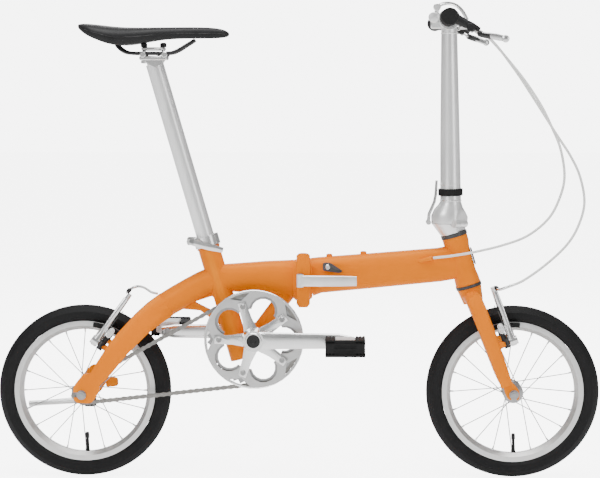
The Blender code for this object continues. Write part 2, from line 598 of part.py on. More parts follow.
pedal_hole = rod((CRANK_X + CRANK_LENGTH, -90, CRANK_Z), (CRANK_X + CRANK_LENGTH, -60, CRANK_Z),
                 6.4, sides=16)
part("crank_right", SILVER, shapes, [pedal_hole], pivot=CRANK)
left_arm = loft([((CRANK_X + 10, 69, CRANK_Z), 6, 17), ((CRANK_X - 40, 69, CRANK_Z), 6, 14),
                 ((CRANK_X - CRANK_LENGTH + 12, 69, CRANK_Z), 6, 13),
                 ((CRANK_X - CRANK_LENGTH - 12, 69, CRANK_Z), 5.5, 9)], sides=12, power=3)
part("crank_left", SILVER, [left_arm, rod((CRANK_X, 62.4, CRANK_Z), (CRANK_X, 76, CRANK_Z), 17)],
     [rod((CRANK_X - CRANK_LENGTH, 60, CRANK_Z), (CRANK_X - CRANK_LENGTH, 90, CRANK_Z), 6.4,
          sides=16)], pivot=CRANK)


def sprocket(teeth, low, high, centre):
    """Toothed disc between two y values."""
    radius = PITCH / (2 * math.sin(math.pi / teeth))
    outline = []
    for k in range(teeth):
        for share, grow in ((0.0, -3.0), (0.5, 2.9)):
            turn = 2 * math.pi * (k + share) / teeth
            outline.append((centre[0] + (radius + grow) * math.cos(turn),
                            centre[2] + (radius + grow) * math.sin(turn)))
    return plate(outline, low, high)


def scallops(radius, distance):
    """Round cutters between the five arms of the crank."""
    turns = [math.radians(72 * k) for k in range(5)]
    return [rod(around(distance, t, -60), around(distance, t, -30), radius) for t in turns]


def bolt_room():
    """Cutters for the five bolts that hold the ring and its guard."""
    return [rod(around(BOLT_CIRCLE, t, -60), around(BOLT_CIRCLE, t, -30), 4.3, sides=12)
            for t in ARM_TURNS]


part("chainring", STEEL, [sprocket(RING_TEETH, CHAIN_Y - 1, CHAIN_Y + 1, CRANK)],
     [rod((CRANK_X, -60, CRANK_Z), (CRANK_X, -20, CRANK_Z), 57, sides=30)] + bolt_room()
     + scallops(22, 56), pivot=CRANK)
guard = turned([(57, -50.4), (GUARD_RADIUS, -50.4), (GUARD_RADIUS, -47.6), (57, -47.6)],
               (CRANK_X, 0, CRANK_Z), steps=36)
windows = []
for arm_turn in ARM_TURNS:
    corners = [around(76, arm_turn, 0)]
    corners += [around(88, arm_turn + math.radians(a), 0) for a in (-13, -4, 4, 13)]
    windows.append(plate([(p.x, p.z) for p in corners], -60, -30))
part("chain_guard", SILVER, [guard], windows + bolt_room() + scallops(26.5, 57), pivot=CRANK)
part("rear_cog", STEEL, [sprocket(COG_TEETH, CHAIN_Y - 1, CHAIN_Y + 1, Vector(REAR)),
                         rod((-AXLE_X, -41.6, AXLE_Z), (-AXLE_X, -38.4, AXLE_Z), 13.4)],
     [rod((-AXLE_X, -60, AXLE_Z), (-AXLE_X, -30, AXLE_Z), AXLE_BORE + 0.2)], pivot=REAR)


def chain_path(grow):
    """Outline of the chain line, moved outward by a distance."""
    big = PITCH / (2 * math.sin(math.pi / RING_TEETH)) + grow
    small = PITCH / (2 * math.sin(math.pi / COG_TEETH)) + grow
    dx, dz = CRANK_X + AXLE_X, CRANK_Z - AXLE_Z
    tilt = math.atan2(dz, dx)
    lean = math.acos((big - small) / math.hypot(dx, dz))
    points = []
    for k in range(25):
        turn = tilt + (math.pi - lean) * (1 - 2 * k / 24)
        points.append((CRANK_X + big * math.cos(turn), CRANK_Z + big * math.sin(turn)))
    for k in range(11):
        turn = tilt - (math.pi - lean) - 2 * lean * k / 10
        points.append((-AXLE_X + small * math.cos(turn), AXLE_Z + small * math.sin(turn)))
    return points


levels = [(-3.6, -4.1), (4.4, -4.1), (4.4, 4.1), (-3.6, 4.1), (-3.6, 1.9), (3.4, 1.9),
          (3.4, -1.9), (-3.6, -1.9)]
loops = [chain_path(grow) for grow, _ in levels]
chain_rings = [[(loops[i][k][0], CHAIN_Y + y, loops[i][k][1]) for i, (_, y) in enumerate(levels)]
               for k in range(len(loops[0]))]
part("chain", STEEL, [skin(chain_rings, closed=True)])

for label, side in (("right", -1), ("left", 1)):
    x = CRANK_X - side * CRANK_LENGTH
    hub = (x, side * 80, CRANK_Z)
    part("pedal_hub_" + label, STEEL,
         [rod((x, side * 63, CRANK_Z), (x, side * 84, CRANK_Z), 6, sides=16),
          rod((x, side * 75.4, CRANK_Z), (x, side * 80.5, CRANK_Z), 10, sides=14),
          rod((x - 13, side * 91, CRANK_Z), (x + 13, side * 91, CRANK_Z), 5, sides=12),
          rod((x, side * 80, CRANK_Z), (x, side * 91, CRANK_Z), 7, 5, sides=12)], pivot=hub)
    lo, hi = sorted((side * 98, side * PEDAL_OUTER_Y))
    bars = [block((x - 36, lo, CRANK_Z - 15.5), (x - 19, hi, CRANK_Z + 15.5), 3),
            block((x + 19, lo, CRANK_Z - 15.5), (x + 36, hi, CRANK_Z + 15.5), 3)]
    ends = []
    for inner, outer, w, h in ((99, 107, 30, 9), (163, PEDAL_OUTER_Y, 36, 15.5)):
        near, far = sorted((side * inner, side * outer))
        ends.append(block((x - w, near, CRANK_Z - h), (x + w, far, CRANK_Z + h), 2))
    near, far = sorted((side * 86, side * 102))
    ears = [block((ear - 5, near, CRANK_Z - 6), (ear + 5, far, CRANK_Z + 6), 2)
            for ear in (x - 20, x + 20)]
    spine = rod((x, side * 100, CRANK_Z), (x, side * 170, CRANK_Z), 6, sides=14)
    part("pedal_" + label, RUBBER, bars + ends + ears + [spine], pivot=(x, side * 91, CRANK_Z))

# ---------------------------------------------------------------- seat
POST_TOP = seat_at(778)
part("seatpost", SILVER, [rod(seat_at(330), POST_TOP, SEATPOST_RADIUS, sides=20)],
     pivot=seat_at(436))
part("seat_clamp", SILVER, [rod(seat_at(778.5), seat_at(790), 14),
                            block((-295, -26, 784), (-244, 26, 792), 2),
                            block((-291, -26, 801.8), (-249, 26, 808), 2),
                            rod((-288, 0, 778), (-288, 0, 811), 3.4, sides=10),
                            rod((-252, 0, 785), (-252, 0, 811), 3.4, sides=10)],
     pivot=seat_at(436))
rails = [wire([(-340, s * 15, 813), (-323, s * 21, 799.5), (-302, s * 22, 796.8),
               (-240, s * 22, 796.8), (-214, s * 17, 808), (-192, s * 10, 820)],
              3.4, sides=8, per=2) for s in (-1, 1)]
bridges = [rod((-340, -15, 813), (-340, 15, 813), 3.4, sides=10),
           rod((-192, -10, 820), (-192, 10, 820), 3.4, sides=10)]
part("saddle_rails", BLACK, [rails[0], bridges[0], rails[1], bridges[1]], pivot=seat_at(436))
saddle = loft([((-409, 0, 848.5), 30, 3), ((-402, 0, 846.5), 48, 6.5), ((-388, 0, 841), 62, 11.5),
               ((-368, 0, 834.5), 69, 15.5), ((-345, 0, 829), 68, 17.5),
               ((-318, 0, 828.5), 58, 16.5), ((-290, 0, 829.5), 45, 15.5),
               ((-255, 0, 833), 31, 12), ((-200, 0, 834.5), 22, 10.7),
               ((-155, 0, 834), 18.5, 10.2), ((-138, 0, 832.5), 14, 7.5), ((-129, 0, 831), 7, 4)],
              sides=18, power=2.3)
hollow = loft([((-375, 0, 814), 50, 12), ((-345, 0, 811), 52, 17), ((-318, 0, 811), 44, 17),
               ((-290, 0, 813), 33, 16), ((-255, 0, 817), 22, 12), ((-200, 0, 822), 16.5, 9.5),
               ((-178, 0, 822), 14, 8.5)], sides=14, power=2.3)
part("saddle", BLACK, [saddle], [hollow], pivot=seat_at(436))

# ---------------------------------------------------------------- stand
part("stand_mount", BLACK, [block((-416, 71.6, 118), (-392, 78, 152), 3)])
part("kickstand", BLACK,
     [rod((-404, 79, 131), (-404, 88, 131), 10, sides=14),
      loft([((-404, 83.5, 131), 4.5, 7), ((-440, 84, 128), 4.5, 6), ((-500, 86, 123), 4.5, 5),
            ((-524, 87, 121), 5, 6)], sides=12)], pivot=(-404, 84, 131))
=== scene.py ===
"""Looks of the folding bicycle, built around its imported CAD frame."""

import json
import math

import bmesh
import bpy
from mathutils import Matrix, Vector


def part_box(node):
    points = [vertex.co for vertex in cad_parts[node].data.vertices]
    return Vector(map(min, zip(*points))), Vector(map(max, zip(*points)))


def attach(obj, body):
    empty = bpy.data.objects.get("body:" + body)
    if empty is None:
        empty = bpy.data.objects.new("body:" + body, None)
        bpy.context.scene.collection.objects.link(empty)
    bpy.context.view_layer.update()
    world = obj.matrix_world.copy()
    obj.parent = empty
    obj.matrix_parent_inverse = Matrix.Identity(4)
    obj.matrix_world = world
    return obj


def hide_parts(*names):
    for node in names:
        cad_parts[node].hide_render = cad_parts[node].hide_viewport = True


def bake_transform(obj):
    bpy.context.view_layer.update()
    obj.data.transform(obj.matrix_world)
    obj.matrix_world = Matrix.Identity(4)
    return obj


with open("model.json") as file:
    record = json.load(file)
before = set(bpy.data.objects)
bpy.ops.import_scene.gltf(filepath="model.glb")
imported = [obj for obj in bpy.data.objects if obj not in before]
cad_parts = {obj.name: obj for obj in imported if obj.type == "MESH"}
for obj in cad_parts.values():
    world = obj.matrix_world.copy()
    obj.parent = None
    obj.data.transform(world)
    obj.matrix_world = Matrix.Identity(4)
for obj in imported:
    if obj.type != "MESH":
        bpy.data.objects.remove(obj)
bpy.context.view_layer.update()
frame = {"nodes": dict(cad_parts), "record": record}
NODES = frame["nodes"]
JOINTS = {joint["name"]: joint for joint in frame["record"]["behaviour"]["joints"]}
MM = 0.001


def pivot(name):
    """Place of a joint, in millimetres."""
    return Vector(JOINTS[name]["pos_m"]) / MM


FRONT = pivot("front_wheel_spin")
REAR = pivot("rear_wheel_spin")
CRANK = pivot("crank_spin")
BAR = pivot("handlebar_turn")
SPOKES = 20
RIM_DEPTH = 16.5
RIM_OUTER = (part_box("front_rim")[1][2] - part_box("front_rim")[0][2]) / 2 / MM
TYRE_OUTER = (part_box("front_tyre")[1][2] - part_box("front_tyre")[0][2]) / 2 / MM
RING_TEETH, COG_TEETH, PITCH = 42, 9, 12.7
CHAIN_Y = (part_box("chain")[0][1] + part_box("chain")[1][1]) / 2 / MM
SIDES = (("right", -1), ("left", 1))

# Faces of the crank set, across the bicycle.
GUARD_FACE_Y = -50.35
RING_BOLT_FACE_Y = -56.2
RIGHT_CRANK_FACE_Y = -75.2
LEFT_CRANK_FACE_Y = 76.1
RING_BOLTS, RING_BOLT_RADIUS = 5, 65
GUARD_BEAD_RADIUS = 91.8

# Imported nodes are joined up before they are shaded.
WELD_DISTANCE = 0.00001
NODE_SHARP_ANGLE = 38
NODE_CREASE_ANGLE = 36


# ---------------------------------------------------------------- materials
def material(name, colour, metallic=0.0, rough=(0.3, 0.4), grain=60.0, bump=0.05,
             spread=0.06, coat=0.0, stretch=(1, 1, 1), edge_fleck_colour=None, fine=900.0, shine=0.5,
             tint=(1, 1, 1)):
    """Principled surface with mottled colour, uneven gloss, fine bump and lighter flecks on sharp
    edges, which on the orange paint are a painted edge highlight.
    """
    made = bpy.data.materials.new(name)
    made.use_nodes = True
    tree = made.node_tree
    shader = tree.nodes["Principled BSDF"]
    shader.inputs["Metallic"].default_value = metallic
    shader.inputs["Coat Weight"].default_value = coat
    shader.inputs["Coat Roughness"].default_value = 0.12
    shader.inputs["Specular IOR Level"].default_value = shine
    shader.inputs["Specular Tint"].default_value = (*tint, 1)

    def add(kind, **values):
        node = tree.nodes.new(kind)
        for key, value in values.items():
            node.inputs[key].default_value = value
        return node

    link = tree.links.new
    place = tree.nodes.new("ShaderNodeTexCoord")
    mapping = add("ShaderNodeMapping", Scale=stretch)
    link(place.outputs["Object"], mapping.inputs["Vector"])
    broad = add("ShaderNodeTexNoise", Scale=grain, Detail=4.0, Roughness=0.6)
    tiny = add("ShaderNodeTexNoise", Scale=fine, Detail=3.0, Roughness=0.5)
    link(mapping.outputs["Vector"], broad.inputs["Vector"])
    link(mapping.outputs["Vector"], tiny.inputs["Vector"])
    ramp = tree.nodes.new("ShaderNodeValToRGB")
    dark = [c * (1 - spread) for c in colour]
    light = [min(1.0, c * (1 + spread)) for c in colour]
    ramp.color_ramp.elements[0].position = 0.3
    ramp.color_ramp.elements[0].color = (*dark, 1)
    ramp.color_ramp.elements[1].position = 0.7
    ramp.color_ramp.elements[1].color = (*light, 1)
    link(broad.outputs["Fac"], ramp.inputs["Fac"])
    base = ramp.outputs["Color"]
    # Lighter flecks on sharp edges, from pointiness times fine noise; on the orange paint they are a
    # painted edge highlight.
    if edge_fleck_colour:
        edge = tree.nodes.new("ShaderNodeNewGeometry")
        sharp = add("ShaderNodeMapRange")
        sharp.inputs["From Min"].default_value = 0.56
        sharp.inputs["From Max"].default_value = 0.66
        link(edge.outputs["Pointiness"], sharp.inputs["Value"])
        edge_fleck_mask = tree.nodes.new("ShaderNodeMath")
        edge_fleck_mask.operation = "MULTIPLY"
        link(sharp.outputs["Result"], edge_fleck_mask.inputs[0])
        link(tiny.outputs["Fac"], edge_fleck_mask.inputs[1])
        mix = tree.nodes.new("ShaderNodeMix")
        mix.data_type = "RGBA"
        link(edge_fleck_mask.outputs["Value"], mix.inputs["Factor"])
        link(base, mix.inputs[6])
        mix.inputs[7].default_value = (*edge_fleck_colour, 1)
        base = mix.outputs[2]
    link(base, shader.inputs["Base Color"])
    gloss = add("ShaderNodeMapRange")
    gloss.inputs["To Min"].default_value = rough[0]
    gloss.inputs["To Max"].default_value = rough[1]
    link(broad.outputs["Fac"], gloss.inputs["Value"])
    link(gloss.outputs["Result"], shader.inputs["Roughness"])
    relief = add("ShaderNodeBump", Strength=bump, Distance=0.0004)
    link(tiny.outputs["Fac"], relief.inputs["Height"])
    link(relief.outputs["Normal"], shader.inputs["Normal"])
    return made


# Its lighter orange flecks on sharp edges are a painted edge highlight.
ORANGE = material("orange_paint", (0.82, 0.195, 0.0), rough=(0.28, 0.38), grain=14, bump=0.03,
                  spread=0.03, edge_fleck_colour=(0.95, 0.30, 0.01), fine=1400, shine=0.22,
                  tint=(1.0, 0.55, 0.10))
POLISHED = material("polished_alloy", (0.84, 0.84, 0.835), 1.0, (0.20, 0.30), 30, 0.015, 0.04)
BRUSHED = material("brushed_alloy", (0.93, 0.93, 0.925), 0.78, (0.28, 0.40), 40, 0.035, 0.05,
                   stretch=(1, 1, 0.06), fine=1500)
SATIN = material("satin_alloy", (0.60, 0.60, 0.595), 1.0, (0.40, 0.52), 60, 0.03, 0.06)
TRACK = material("brake_track", (0.70, 0.70, 0.69), 1.0, (0.32, 0.46), 90, 0.05, 0.06)
STEEL = material("steel", (0.36, 0.36, 0.36), 1.0, (0.22, 0.42), 120, 0.04, 0.12)
CHAIN_STEEL = material("chain_steel", (0.27, 0.26, 0.245), 1.0, (0.28, 0.5), 200, 0.06, 0.2)
BLACK_METAL = material("black_metal", (0.016, 0.016, 0.017), 0.2, (0.3, 0.46), 80, 0.06, 0.25,
                       edge_fleck_colour=(0.10, 0.10, 0.10), shine=0.4)
GREY_METAL = material("grey_metal", (0.09, 0.09, 0.092), 0.6, (0.32, 0.46), 90, 0.05, 0.15)
BLACK_PLASTIC = material("black_plastic", (0.010, 0.010, 0.0105), 0.0, (0.42, 0.58), 90, 0.2,
                         0.25, shine=0.35)
RUBBER = material("black_rubber", (0.008, 0.008, 0.008), 0.0, (0.62, 0.8), 110, 0.35, 0.3,
                  shine=0.25)
TYRE = material("tyre_rubber", (0.006, 0.006, 0.0064), 0.0, (0.58, 0.74), 60, 0.3, 0.3,
                fine=700, shine=0.22)
COVER = material("saddle_cover", (0.008, 0.008, 0.0088), 0.0, (0.45, 0.6), 45, 0.45, 0.22,
                 fine=520, shine=0.3)
CABLE = material("cable_housing", (0.80, 0.80, 0.78), 0.0, (0.28, 0.4), 70, 0.03, 0.04, coat=0.2)
FLOOR = material("floor", (0.93, 0.93, 0.93), 0.0, (0.6, 0.75), 2, 0.01, 0.01, fine=60)

FINISH = {
    ORANGE: "rear_frame front_frame fork rear_magnet",
    POLISHED: ("seat_collar seat_lever post_latch bar_lever handlebar brake_lever_left "
               "brake_lever_right crank_right crank_left seat_clamp front_arm_left "
               "front_arm_right rear_arm_left rear_arm_right"),
    BRUSHED: "seatpost kickstand handlepost stem_base frame_latch",
    SATIN: "chain_guard",
    TRACK: "front_rim rear_rim",
    STEEL: ("front_hub rear_hub front_axle rear_axle front_magnet chainring rear_cog chain "
            "pedal_hub_right pedal_hub_left"),
    BLACK_METAL: "headset_lower headset_upper head_badge saddle_rails stand_mount",
    BLACK_PLASTIC: "brake_mount_left brake_mount_right",
    GREY_METAL: "frame_catch",
    RUBBER: ("post_band grip_left grip_right front_pad_left front_pad_right rear_pad_left "
             "rear_pad_right pedal_left pedal_right"),
    TYRE: "front_tyre rear_tyre",
    CABLE: "front_cable rear_cable rear_cable_tail",
    COVER: "saddle",
}


def smooth(thing, angle=32.0):
    """Round shading that stays sharp at real corners."""
    imported = thing.data.attributes.get("custom_normal")
    if imported:
        thing.data.attributes.remove(imported)
    thing.data.shade_smooth()
    thing.data.set_sharp_from_angle(angle=math.radians(angle))


for finish, names in FINISH.items():
    for node_name in names.split():
        node = NODES[node_name]
        node.data.materials.clear()
        node.data.materials.append(finish)
        weld = node.modifiers.new("weld", "WELD")
        weld.merge_threshold = WELD_DISTANCE
        smooth(node, NODE_SHARP_ANGLE)
        crease = node.modifiers.new("crease", "EDGE_SPLIT")
        crease.split_angle = math.radians(NODE_CREASE_ANGLE)


# ---------------------------------------------------------------- shape tools
def put(name, bm, finish, body=None, angle=35.0):
    """Turn a millimetre bmesh into a finished piece that rides on a body."""
    bmesh.ops.recalc_face_normals(bm, faces=bm.faces)
    bmesh.ops.scale(bm, vec=(MM, MM, MM), verts=bm.verts)
    mesh = bpy.data.meshes.new(name)
    bm.to_mesh(mesh)
    bm.free()
    thing = bpy.data.objects.new(name, mesh)
    bpy.context.scene.collection.objects.link(thing)
    mesh.materials.append(finish)
    smooth(thing, angle)
    if body:
        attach(thing, body)
    return thing


def skin(bm, rings, closed=False):
    """Join rings of points into a surface inside a bmesh."""
    loops = [[bm.verts.new(point) for point in ring] for ring in rings]
    for index in range(len(loops) if closed else len(loops) - 1):
        low, high = loops[index], loops[(index + 1) % len(loops)]
        for k in range(len(low)):
            n = (k + 1) % len(low)
            bm.faces.new((low[k], low[n], high[n], high[k]))
    if not closed:
        bm.faces.new(loops[0])
        bm.faces.new(loops[-1])


def slab(bm, outline, levels):
    """Outline of (x, z) points carried between two y values."""
    skin(bm, [[Vector((x, y, z)) for x, z in outline] for y in levels])


def block(bm, across, along, up):
    """Box between two x, two y and two z values."""
    left, right = across
    low, high = up
    slab(bm, [(left, low), (right, low), (right, high), (left, high)], sorted(along))


def tube(bm, path, radius, sides=10, wide=1.0, power=2.0, side=None):
    """Rod along a path; radius may be a list, and wide stretches it sideways."""
    path = [Vector(p) for p in path]
    across = Vector(side) if side else Vector((0.11, 1.0, 0.13))
    rings = []
    for i, point in enumerate(path):
        along = (path[min(i + 1, len(path) - 1)] - path[max(i - 1, 0)]).normalized()
        across = (across - along * along.dot(across)).normalized()
        deep = along.cross(across)
        r = radius[i] if isinstance(radius, (list, tuple)) else radius
        ring = []
        for k in range(sides):
            t = 2 * math.pi * k / sides
            c, s = math.cos(t), math.sin(t)
            x = math.copysign(abs(c) ** (2 / power), c) * wide
            y = math.copysign(abs(s) ** (2 / power), s)
            ring.append(point + (across * x + deep * y) * r)
        rings.append(ring)
    skin(bm, rings)


def turn(bm, profile, centre, axis=(0, 1, 0), steps=48, closed=True):
    """Revolve (radius, along) points about an axis."""
    centre, axis = Vector(centre), Vector(axis).normalized()
    one = axis.orthogonal().normalized()
    two = axis.cross(one)
    rings = []
    if closed:
        for k in range(steps):
            t = 2 * math.pi * k / steps
            out = one * math.cos(t) + two * math.sin(t)
            rings.append([centre + out * r + axis * a for r, a in profile])
    else:
        for r, a in profile:
            rings.append([centre + axis * a + (one * math.cos(t) + two * math.sin(t)) * r
                          for t in (2 * math.pi * k / steps for k in range(steps))])
    skin(bm, rings, closed)


def spline(points, per=8):
    """Smooth path through the points."""
    ends = [Vector(p) for p in points]
    ends = [ends[0] * 2 - ends[1]] + ends + [ends[-1] * 2 - ends[-2]]
    path = []
    for a, b, c, d in zip(ends, ends[1:], ends[2:], ends[3:]):
        for step in range(per):
            t = step / per
            path.append(0.5 * (2 * b + (c - a) * t + (2 * a - 5 * b + 4 * c - d) * t ** 2
                               + (3 * b - a - 3 * c + d) * t ** 3))
    return path + [ends[-2]]


def screw_head(bm, at, axis, radius=4.0, height=2.6):
    """Domed socket head standing on a surface."""
    turn(bm, [(radius, 0), (radius, height * 0.6), (radius * 0.8, height),
              (radius * 0.45, height), (radius * 0.42, height * 0.35), (0.05, height * 0.35)],
         at, axis, 20, closed=False)


def around(centre, radius, angle, y):
    """Point at a radius and angle about a wheel or crank centre."""
    return Vector((centre.x + radius * math.cos(angle), y, centre.z + radius * math.sin(angle)))


# ---------------------------------------------------------------- wheels
def wheel(end, centre, flange, half_width):
    """Tyre with moulded ribs, rim, laced spokes, hub shell and valve."""
    body = end + "_wheel"
    outer, seat = TYRE_OUTER, RIM_OUTER + 0.3
    side = [(seat, 10.6), (seat + 2.5, 12.6), (seat + 5, 14.9), (seat + 6.2, 15.6),
            (seat + 7.2, 15.5), (seat + 10, 16.9), (seat + 14, 17.3), (seat + 17, 16.7),
            (seat + 17.8, 16.9), (seat + 18.8, 16.0), (outer - 7, 13.3), (outer - 3.4, 9.6),
            (outer - 1.3, 5.6), (outer - 0.9, 5.2), (outer - 0.15, 4.4), (outer, 0)]
    bm = bmesh.new()
    turn(bm, side + [(r, -y) for r, y in side[-2::-1]], centre, steps=144)
    tyre = put(end + "_tyre_skin", bm, TYRE, body, 50)
    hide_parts(end + "_tyre")
    inner = RIM_OUTER - RIM_DEPTH
    rim_side = [(RIM_OUTER, 11.9), (RIM_OUTER - 1, 12), (RIM_OUTER - 9.4, 11.9),
                (RIM_OUTER - 10, 11.3), (RIM_OUTER - 13.5, 7.6), (inner + 0.2, 4.8), (inner, 0)]
    bm = bmesh.new()
    turn(bm, rim_side + [(r, -y) for r, y in rim_side[-2::-1]], centre, steps=144)
    rim = put(end + "_rim_skin", bm, TRACK, body, 25)
    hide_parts(end + "_rim")
    laced = bmesh.new()
    nipples = bmesh.new()
    for k in range(SPOKES):
        out = 2 * math.pi * k / SPOKES
        side_y = flange if k % 2 else -flange
        bend = 0.75 if k % 4 < 2 else -0.75
        start = around(centre, 16.6, out + bend, side_y + 1.4 * bend)
        stop = around(centre, inner - 6, out, side_y * 0.08)
        tube(laced, [start, stop], 0.9, 8)
        tube(laced, [start + Vector((0, -1.8, 0)), start + Vector((0, 1.8, 0))], 1.3, 8)
        tube(nipples, [stop, around(centre, inner + 0.6, out, side_y * 0.05)], [1.35, 1.9], 8)
    put(end + "_nipples", nipples, POLISHED, body)
    limit = half_width - 0.8
    hub_side = [(5.1, limit), (8, limit), (8.2, flange + 6), (10, flange + 3.4),
                (18.6, flange + 2), (19, flange + 1.4), (19, flange - 1.2), (18.4, flange - 1.9),
                (13, flange - 5), (11, flange - 9), (10.6, 0)]
    profile = hub_side + [(r, -y) for r, y in hub_side[-2::-1]]
    turn(laced, profile, centre, steps=48)
    hub = put(end + "_laced_hub", laced, STEEL, body, 30)
    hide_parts(end + "_hub")
    bm = bmesh.new()
    valve_turn = -math.pi / 2 + 0.03
    stem = [around(centre, inner + lift, valve_turn, 0) for lift in (0.5, -4, -25)]
    tube(bm, stem, [4.4, 3.2, 2.9], 14)
    put(end + "_valve", bm, RUBBER, body)
    bm = bmesh.new()
    cap = [around(centre, inner + lift, valve_turn, 0) for lift in (-25, -34, -36)]
    tube(bm, cap, [3.9, 3.7, 2.6], 14)
    put(end + "_valve_cap", bm, BLACK_PLASTIC, body)


wheel("front", FRONT, 22, 37)
wheel("rear", REAR, 24, 38)


# ---------------------------------------------------------------- chain
BIG = PITCH / (2 * math.sin(math.pi / RING_TEETH))
SMALL = PITCH / (2 * math.sin(math.pi / COG_TEETH))
REACH = CRANK - REAR
SPAN = math.hypot(REACH.x, REACH.z)
TILT = math.atan2(REACH.z, REACH.x)
LEAN = math.acos((BIG - SMALL) / SPAN)
RUN = SPAN * math.sin(LEAN)
# Round the chainring, back along the bottom, round the cog, and forward along the top.
STRETCHES = [2 * (math.pi - LEAN) * BIG, RUN, 2 * LEAN * SMALL, RUN]


def chain_point(distance):
    """Point on the chain line, a distance along it."""
    low = TILT - (math.pi - LEAN)
    high = TILT + (math.pi - LEAN)
    distance %= sum(STRETCHES)
    if distance < STRETCHES[0]:
        return around(CRANK, BIG, high - distance / BIG, CHAIN_Y)
    distance -= STRETCHES[0]
    if distance < STRETCHES[1]:
        return around(CRANK, BIG, low, CHAIN_Y).lerp(around(REAR, SMALL, low, CHAIN_Y),
                                                     distance / RUN)
    distance -= STRETCHES[1]
    if distance < STRETCHES[2]:
        return around(REAR, SMALL, low - distance / SMALL, CHAIN_Y)
    distance -= STRETCHES[2]
    return around(REAR, SMALL, high, CHAIN_Y).lerp(around(CRANK, BIG, high, CHAIN_Y),
                                                   distance / RUN)


def link_plate(bm, a, b, low, high, radius=4.0, waist=2.9):
    """Waisted link plate between two pins."""
    along = (b - a).normalized()
    up = Vector((-along.z, 0, along.x))
    outline = []
    for k in range(7):
        t = math.pi / 2 + math.pi * k / 6
        outline.append(a + along * math.cos(t) * radius + up * math.sin(t) * radius)
    outline.append((a + b) / 2 - up * waist)
    for k in range(7):
        t = -math.pi / 2 + math.pi * k / 6
        outline.append(b + along * math.cos(t) * radius + up * math.sin(t) * radius)
    outline.append((a + b) / 2 + up * waist)
    slab(bm, [(point.x, point.z) for point in outline], (low, high))


PLATE_THICKNESS = 0.8
OUTER_PLATE, INNER_PLATE = 2.6, 1.7
links = 2 * round(sum(STRETCHES) / PITCH / 2)
step = sum(STRETCHES) / links
bm = bmesh.new()
for k in range(links):
    a = chain_point(k * step)
    b = chain_point((k + 1) * step)
    offset = OUTER_PLATE if k % 2 else INNER_PLATE
    for sign in (-1, 1):
        levels = sorted((CHAIN_Y + sign * offset, CHAIN_Y + sign * (offset + PLATE_THICKNESS)))
        link_plate(bm, a, b, *levels)
    turn(bm, [(3.8, -1.6), (3.8, 1.6)], (a.x, CHAIN_Y, a.z), steps=10, closed=False)
    turn(bm, [(1.7, -3.9), (1.7, 3.9)], (a.x, CHAIN_Y, a.z), steps=8, closed=False)
chain = put("chain_links", bm, CHAIN_STEEL, "rear_frame", 30)
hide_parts("chain")


# ---------------------------------------------------------------- cables
CABLE_STEPS = 14
HOUSING_RADIUS = 2.45


def along_cable(name, points, cuts):
    """Cable cut into pieces; each cut is (last share, body, next body)."""
    path = spline(points, CABLE_STEPS)
    begin = 0
    made = []
    for number, (share, first, second) in enumerate(cuts):
        last = min(len(path) - 1, round(share * (len(path) - 1)))
        bm = bmesh.new()
        tube(bm, path[begin:last + 1], HOUSING_RADIUS, 14)
        piece = put(f"{name}_{number}", bm, CABLE, None, 60)
        if second:
            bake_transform(piece)
        else:
            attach(piece, first)
        made.append(piece)
        begin = last
    return made


front_route = [(304, -113, 846), (351, -78, 822), (397, -52, 768), (433, -40, 716),
               (476, -34, 650), (505, -31, 606), (523, -30, 567), (531, -30, 520),
               (520, -31, 477), (498, -33, 441), (459, -38, 405), (418, -46, 377),
               (391, -54, 367), (376, -50, 361), (371, -42, 360)]
rear_route = [(304, 113, 846), (345, 70, 838), (405, 25, 770), (448, 5, 708), (473, -8, 657),
              (488, -14, 618), (495, -18, 570), (487, -21, 531), (466, -24, 491),
              (427, -28, 459), (380, -30, 441), (326, -31, 428), (285, -30, 421),
              (251.6, -27.6, 417)]
tail_route = [(-266, 0, 346), (-278, 8, 348), (-293, 34, 353), (-306, 52, 354), (-316, 52, 352),
              (-322, 42, 349)]
pieces = along_cable("front_housing", front_route, [(0.08, "handlebar", "handlepost"),
                                                    (0.7, "handlepost", "fork"),
                                                    (0.84, "fork", None)])
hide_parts("front_cable")
pieces = along_cable("rear_housing", rear_route, [(0.11, "handlebar", "handlepost"),
                                                  (0.6, "handlepost", "fork"),
                                                  (1.0, "fork", "front_frame")])
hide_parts("rear_cable")
pieces = along_cable("tail_housing", tail_route, [(0.62, "rear_frame", None)])
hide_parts("rear_cable_tail")
# Past each housing: metal noodle, inner wire and rubber boot across to the other brake arm.
for end, route, share, body, link in (("front", front_route, 0.82, "fork", (370, 34, 359)),
                                      ("rear", tail_route, 0.6, "rear_frame", (-322, -34, 349))):
    path = spline(route, CABLE_STEPS)
    bm = bmesh.new()
    tube(bm, path[round(share * len(path)):], 2.7, 14)
    put(end + "_noodle", bm, POLISHED, body, 60)
    bm = bmesh.new()
    stop = Vector(link)
    tube(bm, [path[-1], path[-1].lerp(stop, 0.85)], 1.0, 8)
    put(end + "_brake_wire", bm, STEEL, body)
    bm = bmesh.new()
    boot = [path[-1].lerp(stop, 0.1 + 0.05 * k) for k in range(9)]
    tube(bm, boot, [3.2, 4.2, 3.2, 4.2, 3.2, 4.2, 3.2, 3.8, 2.2], 14)
    put(end + "_boot", bm, RUBBER, body)

# ---------------------------------------------------------------- saddle
low, high = (Vector(corner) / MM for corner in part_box("saddle"))
half = (high.y - low.y) / 2
INSET = 0.4
